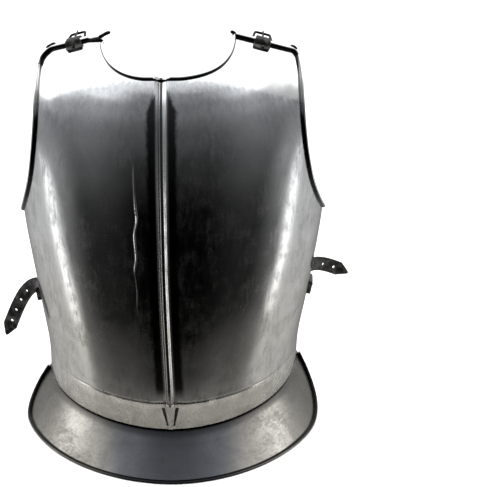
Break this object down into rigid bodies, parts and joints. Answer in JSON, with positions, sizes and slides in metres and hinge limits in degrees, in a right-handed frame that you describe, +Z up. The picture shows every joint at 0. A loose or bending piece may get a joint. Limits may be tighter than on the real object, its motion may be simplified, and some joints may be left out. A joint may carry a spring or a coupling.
{
  "type": "steel breastplate",
  "caption": "Standing breastplate of polished plate steel with a raised middle ridge, rolled edges, a flared waist flange, buckled shoulders and free leather side straps.",
  "frame": {"origin": "middle of the whole breastplate's box in plan, at the height of the floor it stands on", "axes": "+X to the wearer's left, which is the right-hand side of the front view; -Y out of the chest towards the viewer; +Z up from the standing edge to the neck"},
  "size_m": [0.4832, 0.29, 0.5371],
  "materials": {
    "polished_steel": "hand-polished sheet steel, satin, lightly tarnished",
    "blackened_steel": "oil-blackened, satin",
    "black_leather": "dyed and burnished at the edges"
  },
  "bodies": {
    "breastplate": {"breast_plate": "polished_steel", "waist_flange": "polished_steel", "shoulder_tab_left": "black_leather", "shoulder_tab_right": "black_leather", "tab_rivet_left": "blackened_steel", "tab_rivet_right": "blackened_steel", "side_strap_left": "black_leather", "side_strap_right": "black_leather", "strap_rivet_left": "blackened_steel", "strap_rivet_right": "blackened_steel"},
    "frame_left": {"shoulder_buckle_left": "blackened_steel"},
    "frame_right": {"shoulder_buckle_right": "blackened_steel"},
    "prong_left": {"buckle_prong_left": "blackened_steel"},
    "prong_right": {"buckle_prong_right": "blackened_steel"}
  },
  "joints": [
    {"name": "frame_left_turn", "type": "hinge", "parent": "breastplate", "child": "frame_left", "pos_m": [-0.10639, -0.011, 0.52747], "axis": [0.9574, -0.1377, 0.2538], "range_deg": [-100, 30]},
    {"name": "frame_right_turn", "type": "hinge", "parent": "breastplate", "child": "frame_right", "pos_m": [0.10988, -0.01856, 0.52721], "axis": [0.9664, -0.0004, -0.2569], "range_deg": [-100, 30]},
    {"name": "prong_left_turn", "type": "hinge", "parent": "frame_left", "child": "prong_left", "pos_m": [-0.10639, -0.011, 0.52747], "axis": [0.9574, -0.1377, 0.2538], "range_deg": [0, 60]},
    {"name": "prong_right_turn", "type": "hinge", "parent": "frame_right", "child": "prong_right", "pos_m": [0.10988, -0.01856, 0.52721], "axis": [0.9664, -0.0004, -0.2569], "range_deg": [0, 60]}
  ]
}
